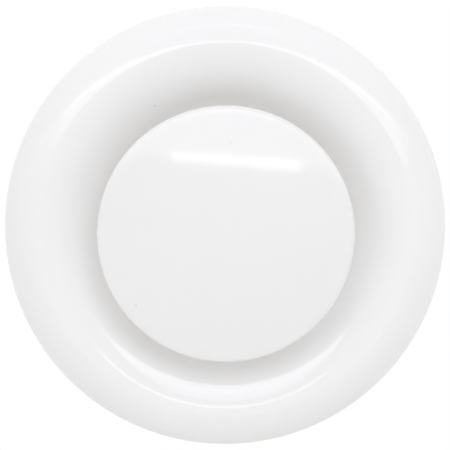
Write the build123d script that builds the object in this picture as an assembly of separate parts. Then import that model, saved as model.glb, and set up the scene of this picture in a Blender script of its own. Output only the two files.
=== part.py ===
from build123d import *
import os
from math import acos, atan2, cos, degrees, hypot, radians, sin, sqrt

# Extract air valve for a round duct, modelled about +Z: the room is in front (+Z), the duct behind,
# and the wall plane is at height zero. It is turned to face -Y when it is written out.

# Duct and mounting collar, in mm
duct_diameter = 100.0
duct_fit = 0.5
spigot_wall = 1.6
spigot_length = 26.0
spigot_chamfer = 1.0
flange_width = 10.5
flange_thickness = 2.0
flange_edge = 0.6
collar_lead_in = 1.2
screw_count = 4
screw_hole_diameter = 4.4
screw_head_diameter = 7.0
screw_sink = 1.0

# Bayonet between collar and valve body
bayonet_count = 3
bayonet_start = 20.0
bayonet_reach = 1.3
bayonet_gap = 0.4
turning_gap = 0.3
ledge_depth = 8.0
ledge_thickness = 2.0
ledge_angle = 40.0
stop_angle = 3.0
lug_thickness = 2.6
lug_angle = 16.0

# Valve body: bell-mouth ring, throat, neck, spider and hub
ring_overhang = 25.5
crest_setback = 12.6
crest_height = 12.5
crest_slope = 8.0
crest_round = 3.0
shoulder_radius = 6.0
rim_height = 2.0
ring_wall = 2.2
throat_inset = 4.9
throat_lip = 3.0
neck_wall = 1.8
neck_length = 34.0
neck_chamfer = 0.8
arm_count = 4
arm_thickness = 3.0
arm_depth = 9.0
arm_edge = 1.0
arm_lap = 1.0
hub_diameter = 16.0
hub_length = 14.0
hub_edge = 1.0

# Seal round the neck
seal_width = 6.0
seal_base = 0.6
seal_gap = 0.3
seal_ridges = 2
seal_setback = 2.0

# Spindle and the pieces on it
thread_diameter = 6.0
thread_gap = 0.05
insert_diameter = 9.0
insert_groove_width = 3.0
insert_groove_depth = 0.5
head_width = 10.0
head_thickness = 4.0
head_cover = 1.0
tip_length = 2.5
tip_chamfer = 0.8
washer_diameter = 12.5
washer_hole_gap = 0.2
washer_thickness = 1.2
nut_width = 10.0
nut_thickness = 5.0
nut_chamfer = 0.6
clip_diameter = 11.0
clip_band = 1.5
clip_thickness = 0.8
clip_prong = 2.0
clip_prong_angles = (-30, 90, 210)
clip_mouth = 4.6
clip_gap = 0.1
groove_depth = 0.6

# Travel kept free behind the hub
nut_back_off = 3.0
disc_open_travel = 5.0

# Centre disc
disc_overlap = 2.5
disc_height = 20.0
disc_sag = 3.5
disc_wall = 2.2
disc_edge_radius = 1.5
skirt_depth = 6.0
skirt_taper = 0.3
boss_diameter = 15.0
boss_length = 12.0
gusset_count = 4
gusset_thickness = 1.8
gusset_reach = 24.0
gusset_toe = 2.5

# Radii that follow from the duct
spigot_radius = duct_diameter / 2 - duct_fit
collar_bore = spigot_radius - spigot_wall
flange_radius = spigot_radius + flange_width
screw_circle = spigot_radius + flange_width / 2
ledge_tip = collar_bore - bayonet_reach
neck_radius = ledge_tip - bayonet_gap
lug_tip = collar_bore - bayonet_gap
neck_bore = neck_radius - neck_wall
throat_radius = neck_bore - throat_inset
ring_radius = spigot_radius + ring_overhang
crest_radius = ring_radius - crest_setback
disc_radius = throat_radius + disc_overlap
thread_radius = thread_diameter / 2
nut_bore = thread_radius + thread_gap

# Arcs of the ring's section: a shoulder at the rim, a crown out to it from the crest, and a trumpet
# from the crest down to the throat, where it runs straight back
slope_sine = sin(radians(crest_slope))
slope_cosine = cos(radians(crest_slope))
shoulder_centre = (ring_radius - shoulder_radius, rim_height)
crest_offset = (crest_radius - shoulder_centre[0], crest_height - shoulder_centre[1])
crest_rise = crest_offset[0] * slope_sine + crest_offset[1] * slope_cosine
crown_radius = (hypot(*crest_offset) ** 2 - shoulder_radius**2) / (2 * (crest_rise - shoulder_radius))
crown_centre = (crest_radius - crown_radius * slope_sine, crest_height - crown_radius * slope_cosine)
trumpet_radius = (crest_radius - throat_radius) / (1 - slope_sine)
throat_depth = trumpet_radius * slope_cosine - crest_height
trumpet_centre = (throat_radius + trumpet_radius, -throat_depth)

# Heights that follow from the stack on the axis
throat_end = -throat_depth - throat_lip
hub_front = throat_end + arm_lap
hub_back = hub_front - hub_length
washer_back = hub_back - washer_thickness
nut_back = washer_back - nut_thickness
clip_front = nut_back - nut_back_off - disc_open_travel - turning_gap
clip_back = clip_front - clip_thickness
spindle_end = clip_back - clip_gap - tip_length
dome_radius = (disc_radius**2 + disc_sag**2) / (2 * disc_sag)
dome_centre = disc_height + disc_sag - dome_radius
skirt_back = disc_height - skirt_depth
dome_underside = disc_height + disc_sag - disc_wall
boss_back = dome_underside - boss_length
head_front = dome_underside - head_cover
head_back = head_front - head_thickness
ledge_front = -ledge_depth
ledge_back = ledge_front - ledge_thickness
lug_front = ledge_back - turning_gap
lug_back = lug_front - lug_thickness
lug_start = bayonet_start + degrees(turning_gap / neck_radius)


def turned(edges):
    """Solid of revolution about the valve's axis, from a closed outline of (radius, height) edges."""
    return revolve(Plane.XZ * make_face(edges), Axis.Z)


def rod(radius, back, front):
    """Cylinder on the axis between two heights."""
    return Pos(0, 0, (back + front) / 2) * Cylinder(radius, front - back)


def hexagon(width, back, front):
    """Hexagonal bar on the axis, its width measured across flats."""
    return Pos(0, 0, back) * extrude(RegularPolygon(width / 2, 6, major_radius=False), front - back)


def sector(inner, outer, back, front, start, sweep):
    """Block swept through part of a turn about the axis, from a start angle."""
    section = Pos((inner + outer) / 2, (back + front) / 2) * Rectangle(outer - inner, front - back)
    return Rot(0, 0, start) * revolve(Plane.XZ * section, Axis.Z, sweep)


def around(shape, count):
    """The shape repeated evenly about the axis."""
    return [Rot(0, 0, 360 * step / count) * shape for step in range(count)]


def direction(centre, point):
    """Angle in degrees at which a point lies from an arc's centre."""
    return degrees(atan2(point[1] - centre[1], point[0] - centre[0]))


def crest_point(inset):
    """Point where the crown and the trumpet cross, both set in from the ring's front face."""
    crown = crown_radius - inset
    trumpet = trumpet_radius - inset
    span_r = trumpet_centre[0] - crown_centre[0]
    span_z = trumpet_centre[1] - crown_centre[1]
    span = hypot(span_r, span_z)
    along = (span**2 + crown**2 - trumpet**2) / (2 * span)
    across = sqrt(crown**2 - along**2)
    r = crown_centre[0] + (along * span_r - across * span_z) / span
    z = crown_centre[1] + (along * span_z + across * span_r) / span
    return (r, z)


def flank_arcs(inset):
    """Shoulder and crown arcs from the rim up to the crest, set in from the ring's front face."""
    join_angle = direction(crown_centre, shoulder_centre)
    crest_angle = direction(crown_centre, crest_point(inset))
    shoulder = CenterArc(shoulder_centre, shoulder_radius - inset, 0, join_angle)
    crown = CenterArc(crown_centre, crown_radius - inset, join_angle, crest_angle - join_angle)
    return [shoulder, crown]


def trumpet_arc(inset):
    """Arc from the crest down into the throat, set in from the ring's front face."""
    crest_angle = direction(trumpet_centre, crest_point(inset))
    return CenterArc(trumpet_centre, trumpet_radius - inset, crest_angle, 180 - crest_angle)


def make_ring():
    """Bell-mouth ring: one wall thick from the rim over a soft crest to the throat's lip."""
    rim = Polyline(
        (ring_radius, rim_height),
        (ring_radius, 0),
        (ring_radius - ring_wall, 0),
        (ring_radius - ring_wall, rim_height),
    )
    lip = Polyline(
        (throat_radius, -throat_depth),
        (throat_radius, throat_end),
        (throat_radius + ring_wall, throat_end),
        (throat_radius + ring_wall, -throat_depth),
    )
    front = [*flank_arcs(0), trumpet_arc(0)]
    back = [*flank_arcs(ring_wall), trumpet_arc(ring_wall)]
    section = make_face([rim, *front, lip, *back])
    crest = section.vertices().sort_by(Axis.Y)[-1]
    return revolve(Plane.XZ * fillet(crest, crest_round), Axis.Z)


def make_neck():
    """Neck behind the ring, its front end cut to the middle of the ring's wall."""
    tube = rod(neck_radius, -neck_length, crest_height) - rod(neck_bore, -neck_length, crest_height)
    mouth_edge = trumpet_arc(ring_wall / 2)
    mouth_front = 2 * crest_height
    mouth = Polyline(
        mouth_edge @ 0,
        (crest_radius, mouth_front),
        (0, mouth_front),
        (0, -throat_depth),
        mouth_edge @ 1,
    )
    neck = tube - turned([mouth_edge, mouth])
    rear_edge = neck.edges().filter_by(GeomType.CIRCLE).group_by(Axis.Z)[0].sort_by(SortBy.RADIUS)[-1]
    return chamfer(rear_edge, neck_chamfer)


def make_spider():
    """Hub on four flat arms with rounded edges, across the throat behind its lip."""
    hub = rod(hub_diameter / 2, hub_back, hub_front)
    hub = chamfer(hub.edges().filter_by(GeomType.CIRCLE), hub_edge)
    section = RectangleRounded(arm_thickness, arm_depth, arm_edge)
    arm_span = neck_radius - neck_wall / 2
    arm = extrude(Plane.YZ * section, arm_span)
    arm = Rot(0, 0, 180 / arm_count) * Pos(0, 0, hub_front - arm_depth / 2) * arm
    return hub + around(arm, arm_count)


def insert_blank():
    """Bush before it is bored: plain ends and a retaining groove round the middle."""
    blank = rod(insert_diameter / 2, hub_back, hub_front)
    middle = (hub_back + hub_front) / 2
    groove_back = middle - insert_groove_width / 2
    groove_front = middle + insert_groove_width / 2
    groove = rod(insert_diameter / 2, groove_back, groove_front)
    groove -= rod(insert_diameter / 2 - insert_groove_depth, groove_back, groove_front)
    return blank - groove


def make_valve_body():
    lug = sector(neck_radius - neck_wall / 2, lug_tip, lug_back, lug_front, lug_start, lug_angle)
    body = make_ring() + make_neck() + make_spider()
    body += around(lug, bayonet_count)
    return body - insert_blank()


def make_hub_insert():
    return insert_blank() - rod(nut_bore, hub_back, hub_front)


def make_neck_seal():
    """Ridged ring: a thin base on the neck with pointed ridges that reach for the collar's bore."""
    front = -spigot_length + seal_setback + seal_width
    base_radius = neck_radius + seal_base
    tip_radius = collar_bore - seal_gap
    pitch = seal_width / seal_ridges
    crown = []
    for ridge in range(seal_ridges):
        crown.append((tip_radius, front - (ridge + 0.5) * pitch))
        crown.append((base_radius, front - (ridge + 1) * pitch))
    outline = Polyline(
        (neck_radius, front),
        (base_radius, front),
        *crown,
        (neck_radius, front - seal_width),
        close=True,
    )
    return turned([outline])


def make_mounting_collar():
    outline = Polyline(
        (collar_bore, -spigot_length),
        (spigot_radius - spigot_chamfer, -spigot_length),
        (spigot_radius, -spigot_length + spigot_chamfer),
        (spigot_radius, 0),
        (flange_radius, 0),
        (flange_radius, flange_thickness - flange_edge),
        (flange_radius - flange_edge, flange_thickness),
        (collar_bore + collar_lead_in, flange_thickness),
        (collar_bore, flange_thickness - collar_lead_in),
        close=True,
    )
    ledge_root = collar_bore + spigot_wall / 2
    ledge = sector(ledge_tip, ledge_root, ledge_back, ledge_front, bayonet_start, ledge_angle)
    stop_start = bayonet_start - stop_angle
    stop = sector(ledge_tip, ledge_root, lug_back, ledge_front, stop_start, stop_angle)
    collar = turned([outline]) + around(ledge, bayonet_count) + around(stop, bayonet_count)
    hole = rod(screw_hole_diameter / 2, 0, flange_thickness)
    sink_height = flange_thickness - screw_sink / 2
    sink = Pos(0, 0, sink_height) * Cone(screw_hole_diameter / 2, screw_head_diameter / 2, screw_sink)
    hole = Rot(0, 0, 180 / screw_count) * Pos(screw_circle, 0, 0) * (hole + sink)
    return collar - around(hole, screw_count)


def pan_section(inset):
    """Half section of the pan form, set in from the disc's outer face: a dome on a tapering skirt."""
    radius = disc_radius - inset
    curve = dome_radius - inset
    edge_height = dome_centre + sqrt(curve**2 - radius**2)
    edge_angle = degrees(acos(radius / curve))
    dome = CenterArc((0, dome_centre), curve, edge_angle, 90 - edge_angle)
    sides = Polyline(
        (0, dome_centre + curve),
        (0, skirt_back),
        (radius - skirt_taper, skirt_back),
        (radius, edge_height),
    )
    return make_face([dome, sides])


def dome_middle(radius):
    """Height of the middle of the dome's wall at a radius."""
    return dome_centre + sqrt((dome_radius - disc_wall / 2) ** 2 - radius**2)


def make_gusset():
    """Triangular rib from the boss out along the dome's underside."""
    root = boss_diameter / 4
    outline = Polyline(
        (root, dome_middle(root)),
        (gusset_reach, dome_middle(gusset_reach)),
        (gusset_reach, dome_middle(gusset_reach) - gusset_toe),
        (boss_diameter / 2, boss_back + gusset_toe),
        (root, boss_back + gusset_toe),
        close=True,
    )
    return extrude(Plane.XZ * make_face(outline), gusset_thickness / 2, both=True)


def make_disc():
    outer = pan_section(0)
    outer = fillet(outer.vertices().sort_by(Axis.X)[-1], disc_edge_radius)
    shell = revolve(Plane.XZ * (outer - pan_section(disc_wall)), Axis.Z)
    boss = rod(boss_diameter / 2, boss_back, dome_middle(boss_diameter / 2))
    disc = shell + boss + around(make_gusset(), gusset_count)
    return disc - make_spindle()


def make_spindle():
    shank = rod(thread_radius, spindle_end, head_back)
    shank = chamfer(shank.edges().filter_by(GeomType.CIRCLE).sort_by(Axis.Z)[0], tip_chamfer)
    groove_back = clip_back - clip_gap
    groove_front = clip_front + clip_gap
    groove = rod(thread_diameter, groove_back, groove_front)
    groove -= rod(thread_radius - groove_depth, groove_back, groove_front)
    return shank + hexagon(head_width, head_back, head_front) - groove


def make_lock_washer():
    hole = rod(thread_radius + washer_hole_gap, washer_back, hub_back)
    return rod(washer_diameter / 2, washer_back, hub_back) - hole


def make_lock_nut():
    """Hex nut with its corners turned off at both faces."""
    corner_radius = nut_width / sqrt(3)
    turning = rod(corner_radius, nut_back, washer_back)
    turning = chamfer(turning.edges().filter_by(GeomType.CIRCLE), nut_chamfer)
    nut = hexagon(nut_width, nut_back, washer_back) & turning
    return nut - rod(nut_bore, nut_back, washer_back)


def make_end_clip():
    """Open clip: a band with a mouth on one side and three prongs that reach into the groove."""
    clip_radius = clip_diameter / 2
    prong = Pos(clip_radius / 2, 0) * Rectangle(clip_radius, clip_prong)
    prongs = [Rot(0, 0, angle) * prong for angle in clip_prong_angles]
    mouth = Pos(0, -clip_radius) * Rectangle(clip_mouth, 2 * clip_radius)
    outline = Circle(clip_radius) - Circle(clip_radius - clip_band)
    outline = (outline + prongs) & Circle(clip_radius)
    outline -= mouth
    outline -= Circle(thread_radius - groove_depth + clip_gap)
    return Pos(0, 0, clip_back) * extrude(outline, clip_thickness)


pieces = {
    "mounting_collar": make_mounting_collar(),
    "valve_body": make_valve_body(),
    "neck_seal": make_neck_seal(),
    "hub_insert": make_hub_insert(),
    "disc": make_disc(),
    "spindle": make_spindle(),
    "end_clip": make_end_clip(),
    "lock_washer": make_lock_washer(),
    "lock_nut": make_lock_nut(),
}

os.makedirs("parts", exist_ok=True)
for name, piece in pieces.items():
    export_step(Rot(90, 0, 0) * piece, f"parts/{name}.step")
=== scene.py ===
import math

import bmesh
import bpy
import numpy as np
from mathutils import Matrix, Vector


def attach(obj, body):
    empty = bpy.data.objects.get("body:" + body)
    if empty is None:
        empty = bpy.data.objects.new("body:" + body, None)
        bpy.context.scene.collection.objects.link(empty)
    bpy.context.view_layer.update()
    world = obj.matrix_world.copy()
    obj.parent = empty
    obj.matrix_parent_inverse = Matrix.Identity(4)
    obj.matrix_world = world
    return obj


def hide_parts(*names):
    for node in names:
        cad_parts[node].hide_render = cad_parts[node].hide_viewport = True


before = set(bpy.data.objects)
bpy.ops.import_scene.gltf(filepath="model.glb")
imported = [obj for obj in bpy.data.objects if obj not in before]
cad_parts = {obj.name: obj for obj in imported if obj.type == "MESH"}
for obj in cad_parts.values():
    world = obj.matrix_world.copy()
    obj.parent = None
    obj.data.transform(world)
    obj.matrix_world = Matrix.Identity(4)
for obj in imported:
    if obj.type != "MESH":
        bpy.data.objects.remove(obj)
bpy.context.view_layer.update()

MM = 0.001
TURN = 2 * math.pi

# Valve body, in mm: heights run forward from the wall plane, radii out from the valve's axis
ring_radius = 75.0
crest_radius = 62.4
crest_height = 12.5
crest_slope = math.radians(8.0)
crest_round = 2.0
shoulder_radius = 6.0
rim_height = 2.0
rim_edge = 0.5
ring_wall = 2.2
throat_radius = 39.5
throat_lip = 3.0
neck_radius = 46.2
neck_bore = 44.4
neck_length = 34.0
neck_chamfer = 0.8
neck_edge = 0.3
arm_angles = (45.0, 135.0, 225.0, 315.0)
arm_thickness = 3.0
arm_depth = 9.0
arm_edge = 1.0
arm_flare = 1.5
arm_lap = 1.0
arm_root = 1.0
hub_radius = 8.0
hub_bore = 4.51
hub_length = 14.0
hub_edge = 1.0
hub_bore_edge = 0.2
lug_angles = (20.37, 140.37, 260.37)
lug_sweep = 16.0
lug_front = -10.3
lug_back = -12.9
lug_tip = 47.5
lug_root = 0.5
lug_edge = 0.4

# Seal round the neck
seal_front = -18.0
seal_width = 6.0
seal_gap = 0.02
seal_base = 46.8
seal_tip = 47.6
seal_edge = 0.1
seal_tip_round = 0.12
seal_root_round = 0.2

# Centre disc
disc_radius = 42.0
disc_height = 20.0
disc_sag = 3.5
disc_wall = 2.2
disc_edge_radius = 1.5
skirt_back = 14.0
skirt_taper = 0.3
skirt_edge = 0.5
skirt_root = 1.0
skirt_root_run = 2.5
boss_radius = 7.5
boss_length = 12.0
boss_root = 1.2
boss_edge = 0.6
boss_mouth_edge = 0.3
gusset_angles = (0.0, 90.0, 180.0, 270.0)
gusset_thickness = 1.8
gusset_edge = 0.5
gusset_reach = 24.0
gusset_toe = 2.5
gusset_root = 1.0

# Spindle
thread_radius = 3.0
thread_root = 2.45
thread_pitch = 1.0
thread_flank = 1.3
thread_root_flat = 0.15
spindle_tip = -47.74
tip_chamfer = 0.8
groove_back = -45.24
groove_front = -44.24
groove_radius = 2.4
head_width = 10.0
head_back = 16.3
head_front = 20.3
head_edge = 0.4
head_face_share = 0.96
shank_pocket = 3.06
head_pocket = 5.85
pocket_edge = 0.1

# Fineness of the meshes: degrees between an arc's points, then points round a turn or along a run
arc_step = 2.5
front_step = 1.5
lip_step = 15.0
corner_step = 18.0
corner_points = 6
head_corner_points = 4
ring_steps = 240
seal_steps = 192
hub_steps = 96
thread_sides = 32
thread_steps = 10
dome_steps = 40
run_steps = 24
lug_steps = 16
flare_steps = 9

# Edges that turn by more than this are shaded sharp
sharp_angle = math.radians(32.0)

# Arcs of the ring's section: shoulder, crown and trumpet, as (radius, height) centres
slope_sine = math.sin(crest_slope)
slope_cosine = math.cos(crest_slope)
shoulder_centre = (ring_radius - shoulder_radius, rim_height)
crest_offset = (crest_radius - shoulder_centre[0], crest_height - shoulder_centre[1])
crest_rise = crest_offset[0] * slope_sine + crest_offset[1] * slope_cosine
crown_radius = (math.hypot(*crest_offset) ** 2 - shoulder_radius**2) / (2 * (crest_rise - shoulder_radius))
crown_centre = (crest_radius - crown_radius * slope_sine, crest_height - crown_radius * slope_cosine)
trumpet_radius = (crest_radius - throat_radius) / (1 - slope_sine)
throat_depth = trumpet_radius * slope_cosine - crest_height
trumpet_centre = (throat_radius + trumpet_radius, -throat_depth)
throat_end = -throat_depth - throat_lip
hub_front = throat_end + arm_lap
hub_back = hub_front - hub_length
dome_radius = (disc_radius**2 + disc_sag**2) / (2 * disc_sag)
dome_centre = disc_height + disc_sag - dome_radius
boss_back = disc_height + disc_sag - disc_wall - boss_length


def arc(centre, radius, start, end, step=arc_step):
    """Points of a circular arc between two angles in degrees: centre + radius * (cos, sin)."""
    count = max(3, math.ceil(abs(end - start) / step) + 1)
    angle = np.radians(np.linspace(start, end, count))
    return np.asarray(centre) + radius * np.column_stack([np.cos(angle), np.sin(angle)])


def rounded(corners, count=corner_points):
    """Open outline with its inner corners rounded, from rows of (radius, height, rounding).

    A corner's arc is centred on the line that halves its angle, rounding / sin(half angle) from the
    corner, and turns from one touching point to the other by equal steps.
    """
    corners = np.asarray(corners, float)
    point = corners[:, :2]
    corner = point[1:-1]
    rounding = corners[1:-1, 2:]
    back = point[:-2] - corner
    ahead = point[2:] - corner
    back /= np.linalg.norm(back, axis=1, keepdims=True)
    ahead /= np.linalg.norm(ahead, axis=1, keepdims=True)
    half = np.arccos(np.clip((back * ahead).sum(1, keepdims=True), -1, 1)) / 2
    middle = back + ahead
    middle *= rounding / np.sin(half) / np.linalg.norm(middle, axis=1, keepdims=True)
    first = back * rounding / np.tan(half) - middle
    last = ahead * rounding / np.tan(half) - middle
    sweep = (math.pi - 2 * half)[:, None]
    share = np.linspace(0, 1, count)[None, :, None]
    turn = np.sin((1 - share) * sweep) * first[:, None] + np.sin(share * sweep) * last[:, None]
    arcs = (corner + middle)[:, None] + turn / np.sin(sweep)
    return np.vstack([point[:1], arcs.reshape(-1, 2), point[-1:]])


def angle_of(centre, point):
    """Angle in degrees at which a point lies from an arc's centre."""
    return math.degrees(math.atan2(point[1] - centre[1], point[0] - centre[0]))


def crest_point(inset):
    """Point where the crown and the trumpet cross, both drawn in from the ring's front face."""
    crown = crown_radius - inset
    trumpet = trumpet_radius - inset
    span_r = trumpet_centre[0] - crown_centre[0]
    span_z = trumpet_centre[1] - crown_centre[1]
    span = math.hypot(span_r, span_z)
    along = (span**2 + crown**2 - trumpet**2) / (2 * span)
    across = math.sqrt(crown**2 - along**2)
    r = crown_centre[0] + (along * span_r - across * span_z) / span
    z = crown_centre[1] + (along * span_z + across * span_r) / span
    return (r, z)


def underside_angle(radius):
    """Angle on the trumpet's underside at which it reaches a radius from the valve's axis."""
    return math.degrees(math.acos((radius - trumpet_centre[0]) / (trumpet_radius - ring_wall)))


def grid_faces(rows, columns, wrap_rows=False):
    """Quads between neighbours on a grid of points whose columns close on themselves."""
    row = np.arange(rows if wrap_rows else rows - 1)[:, None]
    column = np.arange(columns)[None, :]
    next_row = (row + 1) % rows
    next_column = (column + 1) % columns
    quads = [row * columns + column, row * columns + next_column]
    quads += [next_row * columns + next_column, next_row * columns + column]
    return np.stack(np.broadcast_arrays(*quads), -1).reshape(-1, 4)


def to_row(across, up, forward):
    """Points in metres in the row frame, from mm right of, above and in front of the wall plane's centre."""
    return np.stack(np.broadcast_arrays(across, -np.asarray(forward), up), -1).reshape(-1, 3) * MM


def turned(angle, along, side):
    """Places (across, up) of points along a spoke at an angle in degrees and to its side."""
    a = math.radians(angle)
    return along * math.cos(a) - side * math.sin(a), along * math.sin(a) + side * math.cos(a)


def lathe(outline, steps=ring_steps, closed=True):
    """Surface of revolution: outline point (r, z) at angle a goes to (r cos a, r sin a, z)."""
    angle = np.linspace(0, TURN, steps, endpoint=False)[None, :]
    r, z = outline[:, :1], outline[:, 1:]
    points = to_row(r * np.cos(angle), r * np.sin(angle), z + 0 * angle)
    return points, grid_faces(len(outline), steps, closed)


def capped(across, up, forward):
    """Closed skin over a stack of section rings, each a row of the arrays, its ends drawn to a point."""
    rings = np.stack(np.broadcast_arrays(across, up, forward), -1)
    ends = np.broadcast_to(rings[[0, -1]].mean(1, keepdims=True), rings[[0, -1]].shape)
    grid = np.concatenate([ends[:1], rings, ends[1:]])
    return to_row(*np.moveaxis(grid, -1, 0)), grid_faces(grid.shape[0], grid.shape[1])


def soft_rectangle(width, height, rounding):
    """Closed outline of a rectangle about the origin with a quarter circle at each corner."""
    x = width / 2 - rounding
    y = height / 2 - rounding
    corners = [((x, y), 0), ((-x, y), 90), ((-x, -y), 180), ((x, -y), 270)]
    return np.vstack([arc(centre, rounding, start, start + 90, corner_step) for centre, start in corners])


def body_outline():
    """Closed section of ring, throat lip and neck as one wall.

    From the rim's foot over the shoulder arc, the crown arc, the crest's rounding and the trumpet arc
    into the throat, round its lip, then back along the same arcs one wall thickness in, with the neck
    running straight back from them.
    """
    round_centre = crest_point(crest_round)
    shoulder_end = angle_of(crown_centre, shoulder_centre)
    crown_end = angle_of(crown_centre, round_centre)
    trumpet_start = angle_of(trumpet_centre, round_centre)
    inner_crest = crest_point(ring_wall)
    inner_crown_start = angle_of(crown_centre, inner_crest)
    inner_trumpet_end = angle_of(trumpet_centre, inner_crest)
    lip_round = ring_wall / 2
    lip_centre = (throat_radius + lip_round, throat_end + lip_round)
    neck_foot = [
        (neck_bore, -neck_length / 2, 0),
        (neck_bore, -neck_length, neck_edge),
        (neck_radius - neck_chamfer, -neck_length, neck_edge),
        (neck_radius, -neck_length + neck_chamfer, neck_edge),
        (neck_radius, -neck_length / 2, 0),
    ]
    rim_foot = [
        (ring_radius - ring_wall, rim_height / 2, 0),
        (ring_radius - ring_wall, 0, rim_edge),
        (ring_radius, 0, rim_edge),
        (ring_radius, rim_height / 2, 0),
    ]
    inner_trumpet = trumpet_radius - ring_wall
    return np.vstack([
        rounded(rim_foot),
        arc(shoulder_centre, shoulder_radius, 0, shoulder_end),
        arc(crown_centre, crown_radius, shoulder_end, crown_end, front_step)[1:],
        arc(round_centre, crest_round, crown_end, trumpet_start, front_step)[1:],
        arc(trumpet_centre, trumpet_radius, trumpet_start, 180, front_step)[1:],
        arc(lip_centre, lip_round, 180, 360, lip_step),
        arc(trumpet_centre, inner_trumpet, 180, underside_angle(neck_bore)),
        rounded(neck_foot),
        arc(trumpet_centre, inner_trumpet, underside_angle(neck_radius), inner_trumpet_end),
        arc(crown_centre, crown_radius - ring_wall, inner_crown_start, shoulder_end)[1:],
        arc(shoulder_centre, shoulder_radius - ring_wall, shoulder_end, 0)[1:],
    ])


def hub_outline():
    """Closed section of the hub: a tube with softened edges, begun and ended in the middle of its bore."""
    middle = (hub_front + hub_back) / 2
    return rounded([
        (hub_bore, middle, 0),
        (hub_bore, hub_front, hub_bore_edge),
        (hub_radius, hub_front, hub_edge),
        (hub_radius, hub_back, hub_edge),
        (hub_bore, hub_back, hub_bore_edge),
        (hub_bore, middle - hub_bore_edge / 2, 0),
    ])


def arm_skin(angle):
    """Arm of the spider: a soft rectangle carried out from hub to neck.

    Its sides spread near both ends by flare - sqrt(flare^2 - (flare - distance)^2), a quarter-circle fillet.
    """
    start = hub_bore + arm_root
    end = (neck_radius + neck_bore) / 2
    near = hub_radius + arm_flare * np.linspace(0, 1, flare_steps)
    far = neck_bore - arm_flare * np.linspace(1, 0, flare_steps)
    straight = np.linspace(near[-1], far[0], run_steps)[1:-1]
    along = np.concatenate([[start], near, straight, far, [end]])[:, None]
    distance = np.minimum(along - hub_radius, neck_bore - along)
    short = np.clip(arm_flare - distance, 0, arm_flare)
    flare = arm_flare - np.sqrt(arm_flare**2 - short**2)
    side, height = soft_rectangle(arm_thickness, arm_depth, arm_edge).T
    side = side + np.sign(side) * flare
    return capped(*turned(angle, along, side), height + hub_front - arm_depth / 2)


def lug_skin(start):
    """Bayonet lug: a soft rectangle carried round part of a turn.

    Near both ends it is drawn in by edge * (1 - sqrt(1 - (1 - distance / edge)^2)), which rounds them.
    """
    root = neck_radius - lug_root
    section = soft_rectangle(lug_tip - root, lug_front - lug_back, lug_edge)
    edge_angle = math.degrees(lug_edge / lug_tip)
    edge = edge_angle * np.linspace(0, 1, corner_points)
    run = lug_sweep * np.linspace(0.1, 0.9, lug_steps)
    turn = np.concatenate([edge, run, lug_sweep - edge[::-1]])
    distance = np.minimum(turn, lug_sweep - turn) / edge_angle
    draw = lug_edge * (1 - np.sqrt(1 - np.clip(1 - distance, 0, 1) ** 2))[:, None]
    r = (lug_tip + root) / 2 + section[:, 0] - np.sign(section[:, 0]) * draw
    z = (lug_front + lug_back) / 2 + section[:, 1] - np.sign(section[:, 1]) * draw
    a = np.radians(start + turn)[:, None]
    return capped(r * np.cos(a), r * np.sin(a), z)


def seal_outline():
    """Closed section of the seal: a thin band with two ridges, begun and ended on its inner face."""
    inside = neck_radius + seal_gap
    quarter = seal_width / 4
    start = seal_front - 0.6 * seal_width
    end = seal_front - 0.7 * seal_width
    return rounded([
        (inside, start, 0),
        (inside, seal_front, seal_edge),
        (seal_base, seal_front, seal_edge),
        (seal_tip, seal_front - quarter, seal_tip_round),
        (seal_base, seal_front - 2 * quarter, seal_root_round),
        (seal_tip, seal_front - 3 * quarter, seal_tip_round),
        (seal_base, seal_front - seal_width, seal_edge),
        (inside, seal_front - seal_width, seal_edge),
        (inside, end, 0),
    ])


def dome_height(r, inset=0.0):
    """Height of the disc's dome at a radius: a sphere about dome_centre, drawn in by the inset."""
    return dome_centre + np.sqrt((dome_radius - inset) ** 2 - np.square(r))


def disc_outline():
    """Section of the disc from the middle of its dome, over its edge and skirt, along the underside and
    the boss to the pocket that holds the spindle's head, and back to the axis."""
    front = np.linspace(0, disc_radius - 2 * disc_edge_radius, dome_steps)
    inner = disc_radius - disc_wall
    under = np.linspace(inner - skirt_root_run, boss_radius + 2 * boss_root, run_steps)
    edge = [
        (front[-1], dome_height(front[-1]), 0),
        (disc_radius, disc_height, disc_edge_radius),
        (disc_radius - skirt_taper, skirt_back, skirt_edge),
        (inner - skirt_taper, skirt_back, skirt_edge),
        (inner, dome_height(inner, disc_wall), skirt_root),
        (under[0], dome_height(under[0], disc_wall), 0),
    ]
    boss = [
        (under[-1], dome_height(under[-1], disc_wall), 0),
        (boss_radius, dome_height(boss_radius, disc_wall), boss_root),
        (boss_radius, boss_back, boss_edge),
        (shank_pocket, boss_back, boss_mouth_edge),
        (shank_pocket, head_back, pocket_edge),
        (head_pocket, head_back, pocket_edge),
        (head_pocket, head_front, pocket_edge),
        (0, head_front, 0),
    ]
    return np.vstack([
        np.column_stack([front[:-1], dome_height(front[:-1])]),
        rounded(edge),
        np.column_stack([under[1:-1], dome_height(under[1:-1], disc_wall)]),
        rounded(boss),
    ])


def gusset_skin(angle):
    """Rib under the dome: a strip of even thickness whose top follows the middle of the dome's wall and
    whose free edge, rounded, runs straight from the boss to the toe."""
    along = np.linspace(boss_radius - gusset_root, gusset_reach, run_steps)[:, None]
    top = dome_height(along, disc_wall / 2)
    toe = dome_height(gusset_reach, disc_wall / 2) - gusset_toe
    share = (along - boss_radius) / (gusset_reach - boss_radius)
    low = (1 - share) * (boss_back + gusset_toe) + share * toe
    side, lift = soft_rectangle(gusset_thickness, 2 * gusset_edge, gusset_edge).T
    height = np.where(lift > 0, top, low + gusset_edge + lift)
    return capped(*turned(angle, along, side), height)


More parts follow.
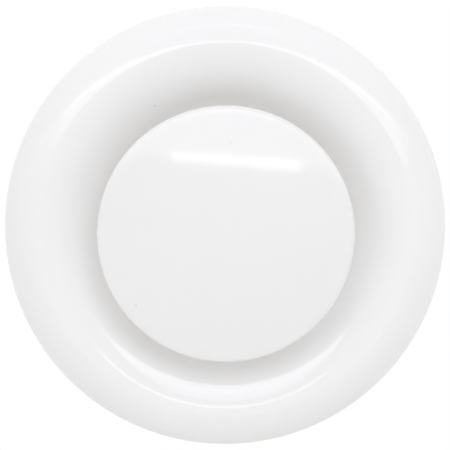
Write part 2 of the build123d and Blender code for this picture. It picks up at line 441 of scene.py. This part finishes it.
def thread_skin():
    """Right-hand thread: at height z and angle a the radius follows a flat-topped wave of
    z / pitch - a / turn, cut down by the chamfer at the tip and by the clip's groove."""
    count = int((head_back - spindle_tip) / thread_pitch * thread_steps)
    z = np.linspace(spindle_tip, head_back, count)[:, None]
    angle = np.linspace(0, TURN, thread_sides, endpoint=False)[None, :]
    phase = (z / thread_pitch - angle / TURN) % 1.0
    wave = np.clip(thread_flank * (1 - np.abs(2 * phase - 1)) - thread_root_flat, 0, 1)
    r = thread_root + (thread_radius - thread_root) * wave
    r = np.minimum(r, thread_radius - tip_chamfer + (z - spindle_tip))
    groove = (z > groove_back) & (z < groove_front)
    r = np.where(groove, groove_radius, r)
    return capped(r * np.cos(angle), r * np.sin(angle), z + 0 * angle)


def head_skin():
    """Hexagonal head: six corners at width / sqrt(3) from the axis, rounded and drawn in at both faces."""
    corner = np.radians(60.0 * np.arange(7))
    reach = head_width / math.sqrt(3)
    edge = np.full(7, head_edge)
    hexagon = np.column_stack([reach * np.cos(corner), reach * np.sin(corner), edge])
    start = (hexagon[:1] + hexagon[1:2]) / 2
    loop = rounded(np.vstack([start, hexagon[1:], start]), head_corner_points)[:-1]
    height = np.array([head_back, head_back + head_edge, head_front - head_edge, head_front])[:, None]
    scale = np.array([head_face_share, 1.0, 1.0, head_face_share])[:, None]
    return capped(loop[:, 0] * scale, loop[:, 1] * scale, height)


def add_piece(name, skins, body, node, material):
    """One piece in place of a node, from closed skins of (points, quads): doubles merged, faces turned
    outwards, smooth but for sharp edges."""
    skin_points, skin_quads = zip(*skins)
    firsts = np.cumsum([0, *map(len, skin_points[:-1])])
    points = np.concatenate(skin_points)
    quads = np.concatenate([quads + first for quads, first in zip(skin_quads, firsts)])
    mesh = bpy.data.meshes.new(name)
    mesh.from_pydata(points, [], quads)
    work = bmesh.new()
    work.from_mesh(mesh)
    bmesh.ops.remove_doubles(work, verts=work.verts, dist=1e-6)
    bmesh.ops.recalc_face_normals(work, faces=work.faces)
    work.to_mesh(mesh)
    work.free()
    mesh.shade_smooth()
    mesh.set_sharp_from_angle(angle=sharp_angle)
    mesh.materials.append(material)
    piece = bpy.data.objects.new(name, mesh)
    bpy.context.scene.collection.objects.link(piece)
    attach(piece, body)
    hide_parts(node)


class Value:
    """A shader value: Python arithmetic on it adds Math nodes."""

    def __init__(self, graph, socket):
        self.graph = graph
        self.socket = socket

    def math(self, operation, *others):
        """A Math node on this value and others."""
        sockets = dict(enumerate([self, *others]))
        return self.graph.node("ShaderNodeMath", {"operation": operation}, sockets)["Value"]

    def __add__(self, other):
        return self.math("ADD", other)

    def __mul__(self, other):
        return self.math("MULTIPLY", other)

    def __rsub__(self, other):
        return (self * -1.0) + other

    __radd__ = __add__
    __rmul__ = __mul__

    def below(self, edge):
        """1 where the value is under the edge, elsewhere 0."""
        return self.math("LESS_THAN", edge)

    def at_least(self, floor):
        """The larger of the value and the floor."""
        return self.math("MAXIMUM", floor)


class Node:
    """A node whose outputs are read by name or number as Values."""

    def __init__(self, graph, node):
        self.graph = graph
        self.node = node

    def __getitem__(self, name):
        return Value(self.graph, self.node.outputs[name])


class Graph:
    """The node tree of a material or of the world."""

    def __init__(self, tree):
        self.tree = tree

    def node(self, kind, settings, sockets):
        """A node of a type with its settings, then the values or links of its sockets."""
        node = self.tree.nodes.new(kind)
        for key, value in settings.items():
            if key == "stops":
                for stop, (position, colour) in zip(node.color_ramp.elements, value):
                    stop.position = position
                    stop.color = colour
            else:
                setattr(node, key, value)
        for key, value in sockets.items():
            if isinstance(value, Value):
                self.link(value, node.inputs[key])
            else:
                node.inputs[key].default_value = value
        return Node(self, node)

    def link(self, value, socket):
        """Join a value to a socket."""
        self.tree.links.new(value.socket, socket)

    def mix(self, share, first, second):
        """First colour where the share is 0, second where it is 1."""
        sockets = {0: share, 6: first, 7: second}
        return self.node("ShaderNodeMix", {"data_type": "RGBA"}, sockets)[2]

    def seen(self):
        """1 for the rays that see the background: the camera's, and those mirrored or let through."""
        rays = self.node("ShaderNodeLightPath", {}, {})
        return rays["Is Camera Ray"].at_least(rays["Is Glossy Ray"]).at_least(rays["Is Transmission Ray"])


class Finish(Graph):
    """One procedural material on a Principled shader, with patterns on Object coordinates."""

    def __init__(self, name, **constants):
        self.material = bpy.data.materials.new(name)
        self.material.use_nodes = True
        super().__init__(self.material.node_tree)
        self.shader = self.tree.nodes["Principled BSDF"]
        for socket, value in constants.items():
            self.shader.inputs[socket.replace("_", " ")].default_value = value
        self.place = self.node("ShaderNodeTexCoord", {}, {})["Object"]

    def scaled(self, scale):
        """Object coordinates stretched or flattened along the axes."""
        return self.node("ShaderNodeMapping", {}, {"Vector": self.place, "Scale": scale})["Vector"]

    def noise(self, scale, detail=2.0, roughness=0.5, stretch=None):
        """Cloudy pattern, finer with a larger scale, on stretched coordinates where given."""
        place = self.scaled(stretch) if stretch else self.place
        sockets = {"Vector": place, "Scale": scale, "Detail": detail, "Roughness": roughness}
        return self.node("ShaderNodeTexNoise", {}, sockets)["Fac"]

    def ramp(self, value, low, high, dark, light):
        """Colour that runs from dark to light as the value runs from low to high."""
        stops = [(low, (*dark, 1)), (high, (*light, 1))]
        return self.node("ShaderNodeValToRGB", {"stops": stops}, {"Fac": value})["Color"]

    def specks(self, cell, size, share):
        """Mask of small spots: a share of the cells of a Voronoi pattern carries one of the given size."""
        sockets = {"Vector": self.place, "Scale": 1 / cell, "Randomness": 1.0}
        cells = self.node("ShaderNodeTexVoronoi", {"feature": "F1"}, sockets)
        chance = self.node("ShaderNodeSeparateColor", {}, {"Color": cells["Color"]})["Red"]
        return cells["Distance"].below(size / cell) * chance.below(share)

    def feed(self, **links):
        """Join values to the shader's sockets, named with _ for a space."""
        for socket, value in links.items():
            self.link(value, self.shader.inputs[socket.replace("_", " ")])

    def bump(self, height, strength, distance):
        """Fine relief from a pattern of heights."""
        sockets = {"Height": height, "Strength": strength, "Distance": distance}
        self.feed(Normal=self.node("ShaderNodeBump", {}, sockets)["Normal"])


def gloss_white(name, dark, light):
    """Glossy white moulding: a faint flow mottle between two shades, a fine orange peel and some dust."""
    finish = Finish(name, IOR=1.49)
    mottle = finish.noise(scale=22.0, detail=3.0)
    colour = finish.ramp(mottle, 0.3, 0.7, dark, light)
    dust = finish.specks(cell=0.012, size=0.00032, share=0.9)
    dust_colour = (0.25, 0.23, 0.20, 1)
    colour = finish.mix(dust * 0.55, colour, dust_colour)
    smears = finish.noise(scale=60.0, detail=4.0, roughness=0.6)
    finish.feed(Base_Color=colour, Roughness=0.045 + smears * 0.06 + dust * 0.4)
    finish.bump(finish.noise(scale=420.0), strength=0.05, distance=0.0003)
    return finish.material


def satin_white():
    """Satin white moulding of the collar: slightly yellower, with a fine mould grain."""
    finish = Finish("collar_plastic", IOR=1.49)
    mottle = finish.noise(scale=30.0, detail=3.0)
    colour = finish.ramp(mottle, 0.3, 0.7, (0.815, 0.812, 0.785), (0.845, 0.842, 0.820))
    dust = finish.specks(cell=0.009, size=0.0003, share=0.6)
    dust_colour = (0.30, 0.27, 0.23, 1)
    colour = finish.mix(dust * 0.5, colour, dust_colour)
    grain = finish.noise(scale=2600.0)
    finish.feed(Base_Color=colour, Roughness=0.36 + grain * 0.18)
    finish.bump(grain, strength=0.25, distance=0.00012)
    return finish.material


def black_rubber():
    """Matt rubber with a pale bloom in patches."""
    finish = Finish("seal_rubber", IOR=1.5, Specular_IOR_Level=0.35)
    bloom = finish.noise(scale=140.0, detail=4.0, roughness=0.6)
    colour = finish.ramp(bloom, 0.35, 0.8, (0.022, 0.022, 0.023), (0.060, 0.059, 0.057))
    finish.feed(Base_Color=colour, Roughness=0.62 + bloom * 0.2)
    finish.bump(finish.noise(scale=1800.0), strength=0.2, distance=0.0001)
    return finish.material


def turned_brass():
    """Turned brass: fine tool lines round the axis, a little tarnish."""
    finish = Finish("insert_brass", Metallic=1.0)
    tarnish = finish.noise(scale=260.0, detail=3.0)
    colour = finish.ramp(tarnish, 0.3, 0.75, (0.62, 0.43, 0.17), (0.80, 0.62, 0.30))
    lines = finish.noise(scale=900.0, stretch=(0.15, 4.0, 0.15))
    finish.feed(Base_Color=colour, Roughness=0.24 + lines * 0.16)
    finish.bump(lines, strength=0.15, distance=0.0001)
    return finish.material


def zinc_plate():
    """Bright zinc plate: bluish to straw in soft patches, with fine drawn lines along the axis."""
    finish = Finish("plated_steel", Metallic=1.0)
    patches = finish.noise(scale=210.0, detail=3.0)
    colour = finish.ramp(patches, 0.3, 0.7, (0.60, 0.63, 0.67), (0.74, 0.73, 0.69))
    lines = finish.noise(scale=1200.0, stretch=(3.0, 0.3, 3.0))
    finish.feed(Base_Color=colour, Roughness=0.24 + lines * 0.12 + patches * 0.08)
    finish.bump(lines, strength=0.10, distance=0.0001)
    return finish.material


def spring_steel():
    """Dark oil-blacked spring steel, worn brighter in places."""
    finish = Finish("clip_steel", Metallic=1.0)
    wear = finish.noise(scale=420.0, detail=4.0, roughness=0.6)
    colour = finish.ramp(wear, 0.4, 0.75, (0.085, 0.080, 0.078), (0.26, 0.25, 0.24))
    finish.feed(Base_Color=colour, Roughness=0.34 + wear * 0.2)
    finish.bump(wear, strength=0.1, distance=0.0001)
    return finish.material


ring_white = gloss_white("ring_plastic", (0.918, 0.915, 0.909), (0.934, 0.931, 0.926))
# The disc's copy of the white is a little darker than the ring's: painted shade for the dimmer light on the
# disc
disc_white_painted_shade = gloss_white("disc_plastic_painted_shade", (0.889, 0.885, 0.876), (0.903, 0.899, 0.891))
steel = zinc_plate()
rubber = black_rubber()

body_skins = [lathe(body_outline()), lathe(hub_outline(), hub_steps)]
body_skins += [*map(arm_skin, arm_angles), *map(lug_skin, lug_angles)]
disc_skins = [lathe(disc_outline(), closed=False), *map(gusset_skin, gusset_angles)]
spindle_skins = [thread_skin(), head_skin()]
seal_skins = [lathe(seal_outline(), seal_steps)]
add_piece("valve_body_moulding", body_skins, "valve", "valve_body", ring_white)
add_piece("disc_moulding", disc_skins, "disc", "disc", disc_white_painted_shade)
add_piece("threaded_spindle", spindle_skins, "disc", "spindle", steel)
add_piece("ridged_seal", seal_skins, "valve", "neck_seal", rubber)

node_finishes = {
    "mounting_collar": satin_white(),
    "hub_insert": turned_brass(),
    "lock_washer": steel,
    "lock_nut": steel,
    "end_clip": spring_steel(),
}
for node, material in node_finishes.items():
    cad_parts[node].data.materials.clear()
    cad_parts[node].data.materials.append(material)

# Camera, in metres: a little above and left of the axis, nearly square to the ring
camera_distance = 0.345
camera_elevation = math.radians(6.85)
camera_azimuth = math.radians(-0.6)
camera_tilt = math.radians(4.95)
camera_shift = (-0.001, -0.067)
frame_width = 0.1546
sensor_width = 36.0
camera_data = bpy.data.cameras.new("camera")
camera_data.sensor_width = sensor_width
camera_data.lens = sensor_width * camera_distance / frame_width
camera_data.shift_x, camera_data.shift_y = camera_shift
camera = bpy.data.objects.new("camera", camera_data)
camera.location = camera_distance * Vector((
    math.sin(camera_azimuth),
    -math.cos(camera_azimuth) * math.cos(camera_elevation),
    math.sin(camera_elevation),
))
camera.rotation_euler = (math.pi / 2 - camera_tilt, 0, camera_azimuth)
bpy.context.scene.collection.objects.link(camera)
bpy.context.scene.camera = camera

# Lamps, in metres and watts
cool_white = (0.90, 0.918, 1.0)


def area_lamp(name, place, turn, size, power):
    """Rectangular lamp that the camera doesn't see, at a place and turned by Euler angles."""
    data = bpy.data.lights.new(name, "AREA")
    data.shape = "RECTANGLE"
    data.size, data.size_y = size
    data.energy = power
    data.color = cool_white
    lamp = bpy.data.objects.new(name, data)
    lamp.location = place
    lamp.rotation_euler = turn
    lamp.visible_camera = False
    bpy.context.scene.collection.objects.link(lamp)
    return lamp


def soft_lamp(name, azimuth, elevation, distance, size, power, roll=0.0):
    """Lamp in the direction of an azimuth and elevation in degrees, facing the ring's middle."""
    a, e = math.radians(azimuth), math.radians(elevation)
    place = distance * Vector((math.cos(e) * math.sin(a), -math.cos(e) * math.cos(a), math.sin(e)))
    turn = (-place).to_track_quat("-Z", "Y").to_euler()
    turn.rotate_axis("Z", math.radians(roll))
    return area_lamp(name, place, turn, size, power)


def slanting_lamp(name, near, far, width, power):
    """Lamp that slants up towards the viewer like a lean-to roof, between two edges given as (y, z)."""
    run, rise = near[0] - far[0], far[1] - near[1]
    place = (0, (near[0] + far[0]) / 2, (near[1] + far[1]) / 2)
    turn = (-math.atan2(rise, run), 0, 0)
    return area_lamp(name, place, turn, (width, math.hypot(run, rise)), power)


# Fills, which give light but no highlights
fills = [
    soft_lamp("tall_softbox", azimuth=3, elevation=40, distance=1.2, size=(1.0, 0.69), power=3.25),
    soft_lamp("front_fill", azimuth=20, elevation=23, distance=1.0, size=(0.6, 0.6), power=0.92),
    soft_lamp("left_fill", azimuth=-50, elevation=10, distance=1.0, size=(0.6, 0.6), power=0.50),
    soft_lamp("overhead_fill", azimuth=0, elevation=80, distance=0.45, size=(0.30, 0.15), power=0.14),
]
for lamp in fills:
    lamp.visible_glossy = False

# Strips: the front one draws the band on the disc and a line low on the ring, the other a line at its top
band_aim = {"azimuth": 2.9, "roll": -4.5}
soft_lamp("front_strip", elevation=9.1, distance=1.0, size=(0.50, 0.036), power=0.22, **band_aim)
soft_lamp("ceiling_strip", azimuth=0, elevation=63, distance=1.0, size=(0.50, 0.04), power=0.21)

# Lamps for highlights alone: a card for the disc's top and the crest, a canopy for the ring's lower inside
highlights = [
    soft_lamp("gloss_card", elevation=28.4, distance=0.1705, size=(0.36, 0.082), power=0.115, **band_aim),
    slanting_lamp("canopy", near=(-0.13, 0.115), far=(-3.0, 1.188), width=0.80, power=10.8),
]
for lamp in highlights:
    lamp.visible_diffuse = False


def white_surround(ambient, backdrop, sides, tint):
    """World that looks white to the camera and in reflections.

    The rest of its light is tinted: the ambient level, plus backdrop * (share of the direction that
    points behind the valve) and sides * (share to a side).
    """
    world = bpy.data.worlds.new("white_surround")
    world.use_nodes = True
    graph = Graph(world.node_tree)
    direction = graph.node("ShaderNodeTexCoord", {}, {})["Generated"]
    share = graph.node("ShaderNodeSeparateXYZ", {}, {"Vector": direction})
    shed = ambient + backdrop * share["Y"].at_least(0.0) + sides * share["X"].math("ABSOLUTE")
    seen = graph.seen()
    background = world.node_tree.nodes["Background"]
    graph.link(graph.mix(seen, (*tint, 1), (1, 1, 1, 1)), background.inputs["Color"])
    graph.link(seen + (1 - seen) * shed, background.inputs["Strength"])
    bpy.context.scene.world = world


white_surround(ambient=0.435, backdrop=0.74, sides=0.38, tint=(1.0, 0.987, 0.968))


def pale_floor(height, near, far, half_width, fade_start, fade_end):
    """Plain floor well below the object, in a soft grey that fades out to white away from the object."""
    mesh = bpy.data.meshes.new("floor")
    x = np.array([-half_width, half_width, half_width, -half_width])
    y = np.array([near, near, far, far])
    mesh.from_pydata(np.column_stack([x, y, np.full(4, height)]), [], [(0, 1, 2, 3)])
    finish = Finish("pale_floor", Roughness=0.6)
    tone = finish.noise(scale=6.0, detail=3.0)
    finish.feed(Base_Color=finish.ramp(tone, 0.3, 0.7, (0.82, 0.82, 0.81), (0.86, 0.86, 0.85)))
    level = finish.scaled((1, 1, 0))
    distance = finish.node("ShaderNodeVectorMath", {"operation": "LENGTH"}, {0: level})["Value"]
    reach = {"Value": distance, "From Min": fade_start, "From Max": fade_end}
    fade = finish.node("ShaderNodeMapRange", {"interpolation_type": "SMOOTHSTEP"}, reach)["Result"]
    white = finish.node("ShaderNodeEmission", {}, {"Color": (1, 1, 1, 1), "Strength": 1.0})["Emission"]
    matt = Value(finish, finish.shader.outputs["BSDF"])
    surfaces = {0: fade * finish.seen(), 1: matt, 2: white}
    surface = finish.node("ShaderNodeMixShader", {}, surfaces)["Shader"]
    finish.link(surface, finish.tree.nodes["Material Output"].inputs["Surface"])
    mesh.materials.append(finish.material)
    floor = bpy.data.objects.new("floor", mesh)
    bpy.context.scene.collection.objects.link(floor)


pale_floor(height=-0.30, near=-2.2, far=0.40, half_width=1.2, fade_start=0.12, fade_end=0.38)

bpy.context.scene.view_settings.view_transform = "Standard"

# White walls face each other across the throat, so light goes on between them for more than four bounces
bpy.context.scene.cycles.diffuse_bounces = 10
